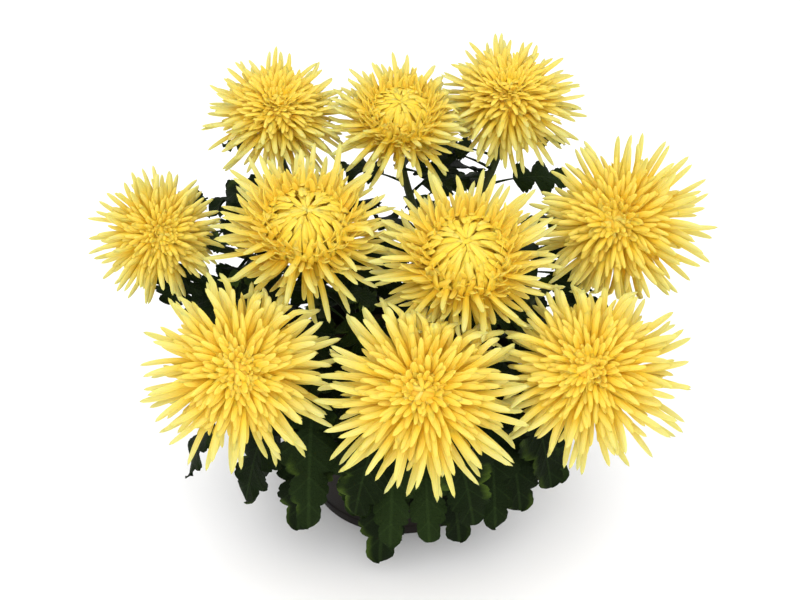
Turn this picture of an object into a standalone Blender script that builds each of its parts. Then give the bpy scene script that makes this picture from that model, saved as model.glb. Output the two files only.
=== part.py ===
"""Pot chrysanthemum: ten spider-form flower heads on five rooted cuttings in one plain pot.

Metres, +Z up. The origin is the middle of the pot's underside. The low front
heads lean out towards -Y. A bearing of 0 degrees points to -Y, 90 to +X.
"""
import itertools
import math
import random

import bmesh
import bpy
from mathutils import Matrix, Vector
from mathutils.bvhtree import BVHTree

# The pot, a thin moulded one with a collar, and the soil in it
POT_HEIGHT = 0.110
POT_RIM_RADIUS = 0.083
POT_BASE_RADIUS = 0.065
POT_WALL = 0.0018
POT_COLLAR = 0.014
POT_COLLAR_STEP = 0.0025
POT_SIDES = 28
DRAINS = 4
DRAIN_RADIUS = 0.005
DRAIN_CIRCLE = 0.040
SOIL_LEVEL = 0.098
SOIL_EDGE_DROP = 0.003
SOIL_EDGE_INSET = 0.004
SEAT_GAP = 0.0003
HOLE_SIDES = 8

# The stems
TRUNK_RADIUS = 0.0036
TRUNK_DEPTH = 0.040
FORK_HEIGHT = 0.114
FORK_OVERLAP = 0.004
SHOOT_RADIUS = 0.0028
SHOOT_FLARE = 1.1
SHOOT_TAPER = 0.2
SHOOT_STEPS = 5

# A flower head, as shares of its radius
CORE_RADIUS = 0.29
CORE_HEIGHT = 0.23
CORE_CORNERS = 48
CORE_LOWEST = math.radians(112)
SEAT_RADIUS = 0.14
SEAT_DEPTH = 0.20
SEAT_CORNERS = 8
INNER_REACH = 0.45
PETAL_NARROWING = 0.58
PETAL_FLATTENING = 0.27
PETAL_SHORTEST = 0.86
PETAL_TWIST = 0.05
CALYX_RADIUS = 0.155
CALYX_HEIGHT = 0.17
CALYX_SHOULDER = 0.35
CALYX_FOOT = 0.03
CALYX_SIDES = 8

# How far a petal grows towards the eye: the share of its root's angle from the
# axis that its tip and its middle have, at the eye and at the rim
TIP_LEAN = (0.70, 0.98)
MIDDLE_LEAN = (0.93, 0.97)
MIDDLE_SHARE = 0.55

# Where two heads meet, each keeps to its own side of a slanted plane
HEAD_NEARNESS = 1.05
HEAD_OVERLAP = 0.65
HEAD_YIELD = 0.8
HEAD_GAP = 0.0006
HEAD_SOFTNESS = 0.012

# Leaves, as shares of the leaf's width and of the path from stem to tip
LEAF_THICKNESS = 0.0010
STALK_WIDTH = 0.0026
STALK_THICKNESS = 0.0022
LEAF_KEEL = 0.16
LEAF_MARGIN = 0.0012
LEAF_PROBE_START = 0.09
STALK_FADE = 0.1
LOWEST_LEAF = 0.006
# One half of the lobed outline: share of the blade's length, share of its width
LEAF_OUTLINE = (
    (0.00, 0.05),
    (0.06, 0.30),
    (0.19, 0.46),
    (0.33, 0.36),
    (0.39, 0.17),
    (0.49, 0.49),
    (0.65, 0.40),
    (0.69, 0.15),
    (0.79, 0.27),
    (0.94, 0.17),
)
LEAF_RIB = (0.14, 0.42, 0.70)

# Each head: its middle, its radius, and the bearing and elevation it faces
HEADS = {
    "back_left": ((-0.086, 0.075, 0.270), 0.055, 15, 68),
    "back_middle": ((0.000, 0.060, 0.274), 0.055, 5, 70),
    "back_right": ((0.077, 0.090, 0.272), 0.057, 0, 68),
    "left": ((-0.164, -0.010, 0.226), 0.049, 22, 32),
    "middle_left": ((-0.062, -0.038, 0.247), 0.069, 8, 68),
    "middle_right": ((0.043, -0.060, 0.238), 0.071, 0, 66),
    "right": ((0.148, -0.012, 0.236), 0.066, -24, 38),
    "front_left": ((-0.102, -0.124, 0.198), 0.070, 0, 36),
    "front_middle": ((0.015, -0.138, 0.192), 0.075, -3, 40),
    "front_right": ((0.122, -0.120, 0.194), 0.070, -14, 44),
}
# From the lowest layer up: a head lies over its neighbours that come earlier
HEAD_LAYERS = (
    "back_left",
    "back_middle",
    "back_right",
    "front_left",
    "front_right",
    "front_middle",
    "left",
    "middle_left",
    "right",
    "middle_right",
)

# Each cutting: where it stands in the soil, and the two heads it carries
PLANTS = {
    "front_left": ((-0.044, -0.030), ("front_left", "middle_left")),
    "front_middle": ((0.005, -0.050), ("front_middle", "middle_right")),
    "front_right": ((0.048, -0.026), ("front_right", "right")),
    "back_left": ((-0.034, 0.034), ("back_left", "left")),
    "back_right": ((0.030, 0.042), ("back_middle", "back_right")),
}

# How a leaf arches: the stalk's share of its path, how far out the path bends,
# and how high above the root, or above the pot's rim for one that hangs over it
HANGING_STALK = 0.44
HANGING_OUT = 0.72
HANGING_LIFT = 0.002
RIM_LIFT = 0.038
RULE_STALK = 0.30
RULE_OUT = 0.55
RULE_LIFT = 0.022
LEAF_WIDTH = 0.50

# Leaves that hang over the rim or out to a side, each from a share of a shoot's
# length to its own tip: shoot, share, tip, width, roll in degrees
HANGING_LEAVES = (
    ("front_middle", 0.05, (-0.014, -0.114, 0.020), 0.050, 8),
    ("front_middle", 0.25, (0.034, -0.112, 0.033), 0.046, -12),
    ("front_middle", 0.40, (0.050, -0.124, 0.064), 0.046, -25),
    ("front_middle", 0.45, (-0.030, -0.126, 0.076), 0.048, 16),
    ("front_left", 0.05, (-0.071, -0.102, 0.039), 0.048, 5),
    ("front_left", 0.30, (-0.106, -0.100, 0.064), 0.050, -10),
    ("front_left", 0.55, (-0.145, -0.092, 0.080), 0.046, -16),
    ("front_right", 0.05, (0.083, -0.104, 0.059), 0.052, -6),
    ("front_right", 0.30, (0.112, -0.096, 0.078), 0.048, 10),
    ("front_right", 0.50, (0.136, -0.090, 0.080), 0.046, 4),
    ("left", 0.66, (-0.170, 0.004, 0.162), 0.046, 10),
    ("left", 0.50, (-0.138, -0.034, 0.146), 0.046, -12),
    ("middle_left", 0.10, (-0.118, -0.022, 0.050), 0.050, 6),
    ("left", 0.15, (-0.108, 0.056, 0.044), 0.050, -8),
    ("back_left", 0.05, (-0.052, 0.114, 0.038), 0.050, 6),
    ("back_middle", 0.10, (0.008, 0.118, 0.050), 0.048, 10),
    ("back_right", 0.05, (0.066, 0.108, 0.042), 0.050, -6),
    ("right", 0.15, (0.116, 0.034, 0.048), 0.050, 8),
)

# Leaves placed by rule on every shoot: share of the shoot's length, reach from
# the stem, how far the tip hangs below the root
RULE_LEAVES = (
    (0.22, 0.088, 0.034),
    (0.44, 0.082, 0.018),
    (0.66, 0.072, 0.010),
)
RULE_SHIFT = 0.05
RULE_LENGTHS = (0.92, 1.05)
RULE_ROLL = 18
CROWN_RADIUS = 0.160
GOLDEN_ANGLE = math.radians(137.508)

# Where a leaf would cross something, it swings, drops or shrinks by these, in turn
SWINGS = (0, 16, -16, 34, -34, 52, -52, 74, -74, 100, -100)
SMALL_SWINGS = (0, 8, -8, 17, -17)
DROPS = (0.0, 0.014, -0.012, 0.030)
SIZES = (1.0, 0.86, 0.74)

YELLOW = (0.80, 0.56, 0.06)
LEAF_GREEN = (0.020, 0.045, 0.016)
SOIL_BROWN = (0.035, 0.022, 0.014)
POT_BROWN = (0.030, 0.022, 0.018)


def direction(bearing, elevation):
    """Return the unit vector that points along a bearing and an elevation in degrees."""
    turn = math.radians(bearing)
    rise = math.radians(elevation)
    return Vector((math.sin(turn) * math.cos(rise), -math.cos(turn) * math.cos(rise), math.sin(rise)))


def smooth_step(value, low, high):
    """Ease from 0 at low to 1 at high."""
    share = min(max((value - low) / (high - low), 0), 1)
    return share * share * (3 - 2 * share)


def mix(low, high, share):
    """Return the value at a share of the way from low to high."""
    return low + (high - low) * share


def clear_scene():
    """Remove what the scene holds."""
    for item in list(bpy.data.objects):
        bpy.data.objects.remove(item, do_unlink=True)


def make_material(name, colour, roughness):
    """Make a plain Principled material."""
    material = bpy.data.materials.new(name)
    material.use_nodes = True
    shader = material.node_tree.nodes["Principled BSDF"]
    shader.inputs["Base Color"].default_value = (*colour, 1)
    shader.inputs["Roughness"].default_value = roughness
    shader.inputs["Metallic"].default_value = 0
    return material


def add_object(name, shape, material=None):
    """Put a bmesh in the scene as a named object, and free the bmesh."""
    bmesh.ops.recalc_face_normals(shape, faces=shape.faces[:])
    mesh = bpy.data.meshes.new(name)
    shape.to_mesh(mesh)
    shape.free()
    if material:
        mesh.materials.append(material)
    item = bpy.data.objects.new(name, mesh)
    bpy.context.scene.collection.objects.link(item)
    return item


def turned(profile, sides):
    """Turn a profile of (radius, height) points about Z and close its two end rings."""
    shape = bmesh.new()
    points = [shape.verts.new((radius, 0, height)) for radius, height in profile]
    edges = [shape.edges.new(pair) for pair in zip(points, points[1:])]
    bmesh.ops.spin(
        shape,
        geom=points + edges,
        cent=(0, 0, 0),
        axis=(0, 0, 1),
        angle=math.tau,
        steps=sides,
        use_merge=True,
    )
    bmesh.ops.holes_fill(shape, edges=shape.edges[:], sides=sides)
    return shape


def apply_boolean(item, cutters, operation):
    """Join or cut an object with a collection of others, apply it, and remove the others."""
    group = bpy.data.collections.new(item.name + "_group")
    bpy.context.scene.collection.children.link(group)
    for cutter in cutters:
        bpy.context.scene.collection.objects.unlink(cutter)
        group.objects.link(cutter)
    modifier = item.modifiers.new("join", "BOOLEAN")
    modifier.operation = operation
    modifier.operand_type = "COLLECTION"
    modifier.collection = group
    modifier.solver = "EXACT"
    graph = bpy.context.evaluated_depsgraph_get()
    result = bpy.data.meshes.new_from_object(item.evaluated_get(graph))
    item.modifiers.clear()
    item.data = result
    for cutter in cutters:
        bpy.data.objects.remove(cutter, do_unlink=True)
    bpy.data.collections.remove(group)


def add_drill(place, radius, reach):
    """Add an upright cylinder that reaches as far above its place as below it."""
    drill = bmesh.new()
    bmesh.ops.create_cone(
        drill,
        cap_ends=True,
        segments=HOLE_SIDES,
        radius1=radius,
        radius2=radius,
        depth=2 * reach,
        matrix=Matrix.Translation(place),
    )
    return add_object("drill", drill)


def pot_radius(height):
    """Return the outer radius of the pot's wall at a height."""
    share = height / (POT_HEIGHT - POT_COLLAR)
    top = POT_RIM_RADIUS - POT_COLLAR_STEP
    return POT_BASE_RADIUS + (top - POT_BASE_RADIUS) * share


def build_pot(material):
    """Make the pot: a thin tapered wall, a collar at the rim and drain holes in the floor."""
    collar = POT_HEIGHT - POT_COLLAR
    profile = [
        (pot_radius(0), 0),
        (pot_radius(collar), collar),
        (POT_RIM_RADIUS, collar + POT_COLLAR_STEP),
        (POT_RIM_RADIUS, POT_HEIGHT),
        (POT_RIM_RADIUS - POT_WALL, POT_HEIGHT),
        (pot_radius(collar) - POT_WALL, collar - POT_COLLAR_STEP),
        (pot_radius(0) - POT_WALL, POT_WALL),
    ]
    pot = add_object("pot", turned(profile, POT_SIDES), material)
    drills = []
    for index in range(DRAINS):
        turn = math.tau * (index + 0.5) / DRAINS
        place = (DRAIN_CIRCLE * math.cos(turn), DRAIN_CIRCLE * math.sin(turn), 0)
        drills.append(add_drill(place, DRAIN_RADIUS, 2 * POT_WALL))
    apply_boolean(pot, drills, "DIFFERENCE")
    return pot


def build_soil(material):
    """Make the soil as one solid with a plain hole for each cutting."""
    inset = POT_WALL + SEAT_GAP / math.cos(math.pi / POT_SIDES)
    collar = POT_HEIGHT - POT_COLLAR
    profile = [
        (pot_radius(0) - inset, POT_WALL + SEAT_GAP),
        (pot_radius(collar - POT_COLLAR_STEP) - inset, collar - POT_COLLAR_STEP),
        (pot_radius(collar) - inset, SOIL_LEVEL - SOIL_EDGE_DROP),
        (pot_radius(collar) - inset - SOIL_EDGE_INSET, SOIL_LEVEL),
    ]
    soil = add_object("soil", turned(profile, POT_SIDES), material)
    radius = (TRUNK_RADIUS + SEAT_GAP) / math.cos(math.pi / HOLE_SIDES)
    drills = [
        add_drill((x, y, SOIL_LEVEL), radius, TRUNK_DEPTH + SEAT_GAP) for (x, y), _ in PLANTS.values()
    ]
    apply_boolean(soil, drills, "DIFFERENCE")
    return soil


def core_corners():
    """Yield the corners of a head's core, for a radius of 1 and an axis along +Z."""
    for index in range(CORE_CORNERS):
        share = (index + 0.5) / CORE_CORNERS
        polar = math.acos(1 - share * (1 - math.cos(CORE_LOWEST)))
        turn = index * GOLDEN_ANGLE
        yield Vector(
            (
                CORE_RADIUS * math.sin(polar) * math.cos(turn),
                CORE_RADIUS * math.sin(polar) * math.sin(turn),
                CORE_HEIGHT * math.cos(polar),
            )
        )
    for index in range(SEAT_CORNERS):
        turn = math.tau * index / SEAT_CORNERS
        yield Vector((SEAT_RADIUS * math.cos(turn), SEAT_RADIUS * math.sin(turn), -SEAT_DEPTH))


def from_polar(reach, polar, turn):
    """Return the point at a distance and an angle from the head's axis, turned about it."""
    flat = reach * math.sin(polar)
    return Vector((flat * math.cos(turn), flat * math.sin(turn), reach * math.cos(polar)))


def grow_petal(shape, face, draw):
    """Draw one petal out of a triangle of the core: a flattened middle, then a point."""
    root = face.calc_center_median()
    polar = math.atan2(root.xy.length, root.z)
    turn = math.atan2(root.y, root.x)
    spread = smooth_step(polar, math.radians(20), math.radians(100))
    outer = smooth_step(polar, math.radians(25), math.radians(85))
    reach = (INNER_REACH + (1 - INNER_REACH) * outer) * draw.uniform(PETAL_SHORTEST, 1)
    tip_polar = polar * mix(*TIP_LEAN, spread)
    middle_polar = polar * mix(*MIDDLE_LEAN, spread)
    tip = from_polar(reach, tip_polar, turn + draw.uniform(-PETAL_TWIST, PETAL_TWIST))
    middle = from_polar(mix(root.length, reach, MIDDLE_SHARE), middle_polar, turn)
    sideways = Vector((-math.sin(turn), math.cos(turn), 0))
    through = (tip - root).normalized().cross(sideways)
    cap = bmesh.ops.extrude_discrete_faces(shape, faces=[face])["faces"][0]
    for corner in cap.verts:
        offset = corner.co - root
        across = offset.dot(sideways) * PETAL_NARROWING
        deep = offset.dot(through) * PETAL_FLATTENING
        corner.co = middle + sideways * across + through * deep
    poked = bmesh.ops.poke(shape, faces=[cap])
    poked["verts"][0].co = tip


def head_walls(name):
    """Return the planes a head keeps behind: a point on each, its way out, and the way to bend."""
    middle, radius, bearing, elevation = HEADS[name]
    walls = []
    for other, (other_middle, other_radius, other_bearing, other_elevation) in HEADS.items():
        gap = Vector(other_middle) - Vector(middle)
        if other == name or gap.length > HEAD_NEARNESS * (radius + other_radius):
            continue
        facing = direction(bearing, elevation) + direction(other_bearing, other_elevation)
        above = HEAD_LAYERS.index(other) > HEAD_LAYERS.index(name)
        lean = HEAD_OVERLAP if above else -HEAD_OVERLAP
        normal = (gap.normalized() + lean * facing.normalized()).normalized()
        bend = (HEAD_YIELD * normal + math.copysign(1, lean) * facing.normalized()).normalized()
        walls.append((Vector(middle) + gap * radius / (radius + other_radius), normal, bend))
    return walls


def keep_behind(point, walls):
    """Bend a point back so that it stays behind every wall, with order kept."""
    room = HEAD_SOFTNESS - HEAD_GAP
    for _ in range(3):
        for spot, normal, bend in walls:
            past = (point - spot).dot(normal) + HEAD_SOFTNESS
            if past > 0:
                point = point - bend * (past - room * (1 - math.exp(-past / room))) / bend.dot(normal)
    return point


def head_frame(name):
    """Return the matrix that takes a head of radius 1 on the Z axis to its place."""
    middle, radius, bearing, elevation = HEADS[name]
    turn = direction(bearing, elevation).to_track_quat("Z", "Y").to_matrix().to_4x4()
    return Matrix.Translation(middle) @ turn @ Matrix.Scale(radius, 4)


def build_head(name, material):
    """Make one flower head: a small core with every triangle drawn out into a petal."""
    draw = random.Random("flower " + name)
    shape = bmesh.new()
    corners = [shape.verts.new(corner) for corner in core_corners()]
    bmesh.ops.rotate(
        shape,
        cent=(0, 0, 0),
        matrix=Matrix.Rotation(draw.uniform(0, math.tau), 3, "Z"),
        verts=corners[:CORE_CORNERS],
    )
    bmesh.ops.convex_hull(shape, input=corners)
    shape.normal_update()
    for face in [face for face in shape.faces if face.normal.z > -0.999]:
        grow_petal(shape, face, draw)
    bmesh.ops.triangulate(shape, faces=shape.faces[:])
    shape.transform(head_frame(name))
    walls = head_walls(name)
    kept = set(corners)
    for corner in shape.verts:
        if corner not in kept:
            corner.co = keep_behind(corner.co, walls)
    return add_object("bloom_" + name, shape, material)


def shoot_path(name, place):
    """Return points up a shoot, from its fork to the calyx under its head."""
    start = Vector((*place, FORK_HEIGHT))
    frame = head_frame(name)
    facing = (frame.to_3x3() @ Vector((0, 0, 1))).normalized()
    end = frame @ Vector((0, 0, -SEAT_DEPTH - CALYX_HEIGHT))
    rise = (end - start).length / 3
    first = start + Vector((0, 0, rise))
    second = end - facing * rise
    points = []
    for index in range(SHOOT_STEPS + 1):
        t = index / SHOOT_STEPS
        points.append(
            start * (1 - t) ** 3
            + first * (3 * t * (1 - t) ** 2)
            + second * (3 * t * t * (1 - t))
            + end * t**3
        )
    return points


def on_path(points, share):
    """Return the point at a share of the way along a path."""
    place = min(max(share, 0), 0.9999) * (len(points) - 1)
    index = int(place)
    return points[index].lerp(points[index + 1], place - index)


def add_tube(name, points, radii):
    """Make a closed eight-sided tube along points as a bevelled curve, turned into a mesh object."""
    curve = bpy.data.curves.new(name, "CURVE")
    curve.dimensions = "3D"
    curve.bevel_depth = 1
    curve.bevel_resolution = 1
    curve.use_fill_caps = True
    spline = curve.splines.new("POLY")
    spline.points.add(len(points) - 1)
    for knot, point, radius in zip(spline.points, points, radii):
        knot.co = (*point, 1)
        knot.radius = radius
    item = bpy.data.objects.new(name, curve)
    bpy.context.scene.collection.objects.link(item)
    graph = bpy.context.evaluated_depsgraph_get()
    shape = bmesh.new()
    shape.from_mesh(bpy.data.meshes.new_from_object(item.evaluated_get(graph)))
    bpy.data.objects.remove(item, do_unlink=True)
    bmesh.ops.remove_doubles(shape, verts=shape.verts[:], dist=SEAT_GAP / 10)
    return add_object(name, shape)


def build_calyx(name):
    """Make the green cup that a head sits on, with a flat top just under the head's seat."""
    radius = HEADS[name][1]
    top = -SEAT_DEPTH - SEAT_GAP / radius
    profile = [
        (SHOOT_RADIUS / radius * (SHOOT_FLARE - SHOOT_TAPER), top - CALYX_HEIGHT - CALYX_FOOT),
        (CALYX_RADIUS, top - CALYX_HEIGHT * CALYX_SHOULDER),
        (SEAT_RADIUS, top),
    ]
    shape = turned(profile, CALYX_SIDES)
    shape.transform(head_frame(name))
    return add_object("calyx", shape)


class Leaf:
    """One leaf on an arched path from its stem to its tip: a stalk, then a lobed blade."""

    def __init__(self, root, tip, out, height, stalk, width, roll):
        level = Vector((tip.x - root.x, tip.y - root.y, 0))
        self.root = root
        self.bend = Vector((root.x, root.y, height)) + level * out
        self.tip = tip
        self.stalk = stalk
        self.width = width
        self.roll = math.radians(roll)
        self.side = level.normalized().cross(Vector((0, 0, 1)))

    def place(self, along, across, above):
        """Return the point at a share of the path, a distance across it and one above it."""
        first = self.root.lerp(self.bend, along)
        second = self.bend.lerp(self.tip, along)
        tangent = (second - first).normalized()
        flat_up = self.side.cross(tangent)
        side = self.side * math.cos(self.roll) + flat_up * math.sin(self.roll)
        return first.lerp(second, along) + side * across + side.cross(tangent) * above

    def mesh(self, start, margin):
        """Make the closed leaf from a share of its path on, thicker by a margin each way."""
        blade = 1 - self.stalk
        edge = [(start, STALK_WIDTH / 2), ((start + self.stalk) / 2, STALK_WIDTH / 2)]
        edge += [(self.stalk + along * blade, across * self.width) for along, across in LEAF_OUTLINE]
        rib = [start, (start + self.stalk) / 2] + [self.stalk + along * blade for along in LEAF_RIB] + [1]
        shape = bmesh.new()
        middle = [shape.verts.new((along, 0, 0)) for along in rib]
        for side in (1, -1):
            outline = [shape.verts.new((along, across * side, 0)) for along, across in edge]
            shape.faces.new((outline + middle[::-1])[::side])
        bmesh.ops.triangulate(shape, faces=shape.faces[:])
        upper = bmesh.ops.extrude_face_region(shape, geom=shape.faces[:], use_keep_orig=True)
        for corner in [item for item in upper["geom"] if isinstance(item, bmesh.types.BMVert)]:
            corner.co.z = 1
        for corner in shape.verts:
            along, across, layer = corner.co
            blade = smooth_step(along, self.stalk, self.stalk + STALK_FADE)
            thickness = mix(STALK_THICKNESS, LEAF_THICKNESS, blade) + 2 * margin
            corner.co = self.place(along, across, abs(across) * LEAF_KEEL + thickness * (layer - 0.5))
        bmesh.ops.recalc_face_normals(shape, faces=shape.faces[:])
        return shape


def hanging_leaves(shoots):
    """Yield the hand-placed leaves: their plant's shoot, and ways for each, the best first."""
    for name, share, tip, width, roll in HANGING_LEAVES:
        root = on_path(shoots[name], share)
        height = max(root.z + HANGING_LIFT, POT_HEIGHT + RIM_LIFT)
        ways = []
        for size in SIZES:
            for swing in SMALL_SWINGS:
                reach = Matrix.Rotation(math.radians(swing), 3, "Z") @ (Vector(tip) - root)
                end = root + reach * size
                ways.append(Leaf(root, end, HANGING_OUT, height, HANGING_STALK, width * size, roll))
        yield name, ways


def rule_leaves(shoots):
    """Yield the leaves up every shoot: the shoot's name, and ways for each, the best first."""
    for number, (name, points) in enumerate(shoots.items()):
        draw = random.Random("leaves " + name)
        turn = draw.uniform(0, math.tau)
        for share, reach, drop in RULE_LEAVES:
            turn += GOLDEN_ANGLE
            root = on_path(points, share + RULE_SHIFT * (number % 2))
            length = reach * draw.uniform(*RULE_LENGTHS)
            roll = draw.uniform(-RULE_ROLL, RULE_ROLL)
            height = root.z + RULE_LIFT
            ways = []
            for size, lower, swing in itertools.product(SIZES, DROPS, SWINGS):
                around = turn + math.radians(swing)
                fall = drop + lower
                flat = math.sqrt(length**2 - fall**2) * size
                tip = root + Vector((flat * math.sin(around), -flat * math.cos(around), -fall))
                width = LEAF_WIDTH * length * size
                if tip.xy.length < CROWN_RADIUS:
                    ways.append(Leaf(root, tip, RULE_OUT, height, RULE_STALK, width, roll))
            yield name, ways


def is_clear(leaf, obstacles):
    """Tell whether a leaf, with some room round it, crosses nothing and clears the ground."""
    probe = leaf.mesh(LEAF_PROBE_START, LEAF_MARGIN)
    low = min(corner.co.z for corner in probe.verts)
    tree = BVHTree.FromBMesh(probe)
    probe.free()
    return low > LOWEST_LEAF and not any(tree.overlap(other) for other in obstacles)


def tree_of(item):
    """Return a search tree of an object's faces."""
    graph = bpy.context.evaluated_depsgraph_get()
    return BVHTree.FromObject(item, graph)


def build_plants(others, material):
    """Make the five cuttings: trunk, two shoots, two calyces and the leaves, fused in one."""
    shoots = {}
    stems = {}
    for plant, (place, heads) in PLANTS.items():
        foot = Vector((*place, SOIL_LEVEL - TRUNK_DEPTH))
        overlap = Vector((0, 0, FORK_OVERLAP))
        fork = Vector((*place, FORK_HEIGHT)) + overlap
        trunk = add_tube("plant_" + plant, [foot, fork], [TRUNK_RADIUS, TRUNK_RADIUS])
        trunk.data.materials.append(material)
        pieces = [trunk]
        for head in heads:
            shoots[head] = shoot_path(head, place)
            path = [shoots[head][0] - overlap] + shoots[head]
            radii = []
            for index in range(len(path)):
                radii.append(SHOOT_RADIUS * (SHOOT_FLARE - SHOOT_TAPER * index / len(path)))
            pieces.append(add_tube("shoot", path, radii))
            pieces.append(build_calyx(head))
        stems[plant] = pieces
    obstacles = [tree_of(item) for item in others]
    obstacles += [tree_of(item) for pieces in stems.values() for item in pieces]
    for head, ways in list(hanging_leaves(shoots)) + list(rule_leaves(shoots)):
        plant = next(name for name, (_, heads) in PLANTS.items() if head in heads)
        leaf = next((leaf for leaf in ways if is_clear(leaf, obstacles)), None)
        if leaf:
            blade = add_object("leaf", leaf.mesh(0, 0))
            obstacles.append(tree_of(blade))
            stems[plant].append(blade)
    for pieces in stems.values():
        apply_boolean(pieces[0], pieces[1:], "UNION")


def main():
    clear_scene()
    yellow = make_material("petal_yellow", YELLOW, 0.55)
    green = make_material("leaf_green", LEAF_GREEN, 0.6)
    brown = make_material("soil_brown", SOIL_BROWN, 0.95)
    dark = make_material("pot_plastic", POT_BROWN, 0.5)
    others = [build_pot(dark), build_soil(brown)]
    others += [build_head(name, yellow) for name in HEADS]
    build_plants(others, green)


main()
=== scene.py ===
"""Pot chrysanthemum: its looks, built on the part's own frame.

Fine petals, lobed leaves, ridged stems, peaty soil and a moulded pot stand for the
plain solids of the part. Metres, +Z up. A bearing of 0 degrees points to -Y, towards
the camera, and 90 to +X.
"""

import bisect
import itertools
import math
import random

import bmesh
import bpy
from mathutils import Matrix, Vector, noise
from mathutils.bvhtree import BVHTree
from mathutils.kdtree import KDTree


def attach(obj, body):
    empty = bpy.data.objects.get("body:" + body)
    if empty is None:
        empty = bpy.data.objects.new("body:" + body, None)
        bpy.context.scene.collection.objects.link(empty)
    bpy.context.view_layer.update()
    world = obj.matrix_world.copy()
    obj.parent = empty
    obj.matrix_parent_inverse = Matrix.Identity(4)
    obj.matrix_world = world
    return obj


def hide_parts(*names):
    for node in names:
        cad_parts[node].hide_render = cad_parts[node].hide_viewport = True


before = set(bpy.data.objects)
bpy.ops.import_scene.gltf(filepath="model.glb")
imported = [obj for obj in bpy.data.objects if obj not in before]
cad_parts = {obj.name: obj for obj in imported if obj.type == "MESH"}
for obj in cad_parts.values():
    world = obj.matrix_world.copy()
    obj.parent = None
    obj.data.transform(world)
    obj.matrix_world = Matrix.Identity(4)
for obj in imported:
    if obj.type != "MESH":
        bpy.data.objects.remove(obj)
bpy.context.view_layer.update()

# The camera and the light
CAMERA_ELEVATION = 36
CAMERA_DISTANCE = 1.3
CAMERA_TARGET = (0, 0, 0.163)
CAMERA_LENS = 83.25
SENSOR_WIDTH = 36
SKY_STRENGTH = 0.96
# Each lamp: its place, its size and its power in watts; all shine on the camera's target
LAMPS = {
    "key": ((-0.4, -1.4, 1.7), 2.4, 26),
    "fill": ((0.6, -1.5, 1.2), 2.2, 13),
    "top": ((0.1, 0.5, 2.2), 2.4, 17),
}
FLOOR_SIZE = 12

# The pot and its soil
POT_HEIGHT = 0.110
POT_RIM_RADIUS = 0.083
POT_BASE_RADIUS = 0.065
POT_WALL = 0.0018
POT_COLLAR = 0.014
POT_COLLAR_STEP = 0.0025
POT_EDGE_RADIUS = 0.0007
POT_FOOT_HEIGHT = 0.008
POT_FOOT_STEP = 0.0008
POT_SIDES = 96
DRAINS = 4
DRAIN_RADIUS = 0.005
DRAIN_CIRCLE = 0.040
DRAIN_SIDES = 24
SOIL_LEVEL = 0.098
SOIL_EDGE = 0.001
SOIL_RELIEF = 0.0022
SOIL_RELIEF_SCALE = 90
SOIL_RINGS = 22
SOIL_SIDES = 90
SOIL_CRUMBS = 260
CRUMB_RADII = (0.0008, 0.0022)
SEAT_GAP = 0.0003

# The stems
TRUNK_RADIUS = 0.0036
TRUNK_DEPTH = 0.040
FORK_HEIGHT = 0.114
FORK_OVERLAP = 0.004
SHOOT_RADIUS = 0.0028
SHOOT_TAPER = (1.1, 0.9)
SHOOT_STEPS = 5
STEM_SIDES = 20
STEM_STEPS = 24
STEM_RIDGES = 5
STEM_RIDGE_SHARE = 0.09

# A flower head, as shares of its radius, with angles in degrees from its axis

# Petals that curl in over the eye, layer by layer: how many, how far out they run,
# and the angle where their tips end. An open head has only a whorl of them
CURLED_LAYERS = {
    "ball": (
        (12, 0.350, -2),
        (20, 0.370, 13),
        (28, 0.392, 28),
        (36, 0.416, 43),
        (42, 0.440, 58),
    ),
    "open": ((6, 0.330, 0), (9, 0.350, 16)),
}
CURLED_FOOT = 94
CURLED_SPREAD = 11
CURLED_TWISTS = (-0.3, 0.4)
CURLED_TURN = 0.2
CURLED_ROLL = 8
CURLED_REACHES = (0.97, 1.03)
CURLED_FOOT_REACH = 0.74
CURLED_TIP_DIP = 0.05
CURLED_WIDTHS = (0.72, 0.98)
CURLED_CHANNEL = -0.08
CURLED_PALENESS = 0.35

# Petals that stand out: how many, between which angles, how far they reach, and where
# they bend, as a share of their angle: over 1 they curve in, under 1 they curve out
STANDING_PETALS = {
    "ball": (
        (80, 50, 86, 0.48, 0.64, 1.22),
        (120, 58, 104, 0.58, 0.78, 1.12),
        (60, 64, 110, 0.84, 1.02, 1.03),
        (34, 106, 122, 0.50, 0.72, 1.22),
    ),
    "open": (
        (125, 16, 58, 0.40, 0.60, 0.80),
        (125, 52, 102, 0.58, 0.80, 0.93),
        (68, 62, 112, 0.84, 1.00, 0.98),
        (34, 106, 122, 0.50, 0.72, 1.22),
    ),
}
BALL_HEADS = ("middle_left", "middle_right", "back_middle")
FULL_HEADS = ("back_left", "back_middle", "back_right")
FULLNESS = 1.25
STANDING_SWAY = 0.15
STANDING_TURN = 0.1
STANDING_TILT = 2
STANDING_TIP_TILT = 6
STANDING_ROLL = 11
STANDING_WIDTHS = (0.8, 1.0)
STANDING_CHANNEL = 0.12
STANDING_PALENESS = 0.15
# Over this reach a petal belongs more and more to the fringe; a short one is narrower
FRINGE_REACH = 0.5
SHORT_WIDTH = 0.82
# Where a petal leaves the core, where it bulges if it is short or in the fringe, and
# how much of its bend it takes back at its tip
ROOT_REACH = 0.24
ROOT_TILT = 1.1
BULGE_REACHES = (0.72, 0.60)
BEND_RETURN = 0.8
CORE_RADIUS = 0.31
CORE_HEIGHT = 0.30
SEAT_RADIUS = 0.14
SEAT_DEPTH = 0.20
CALYX_RADIUS = 0.155
CALYX_HEIGHT = 0.17
CALYX_SIDES = 24
BRACT_ROWS = 3
BRACTS_IN_ROW = 13
BRACT_TURN = 0.08
BRACT_WIDTH = 0.075
BRACT_LENGTHS = (0.13, 0.17)
BRACT_CHANNEL = 0.2

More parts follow.
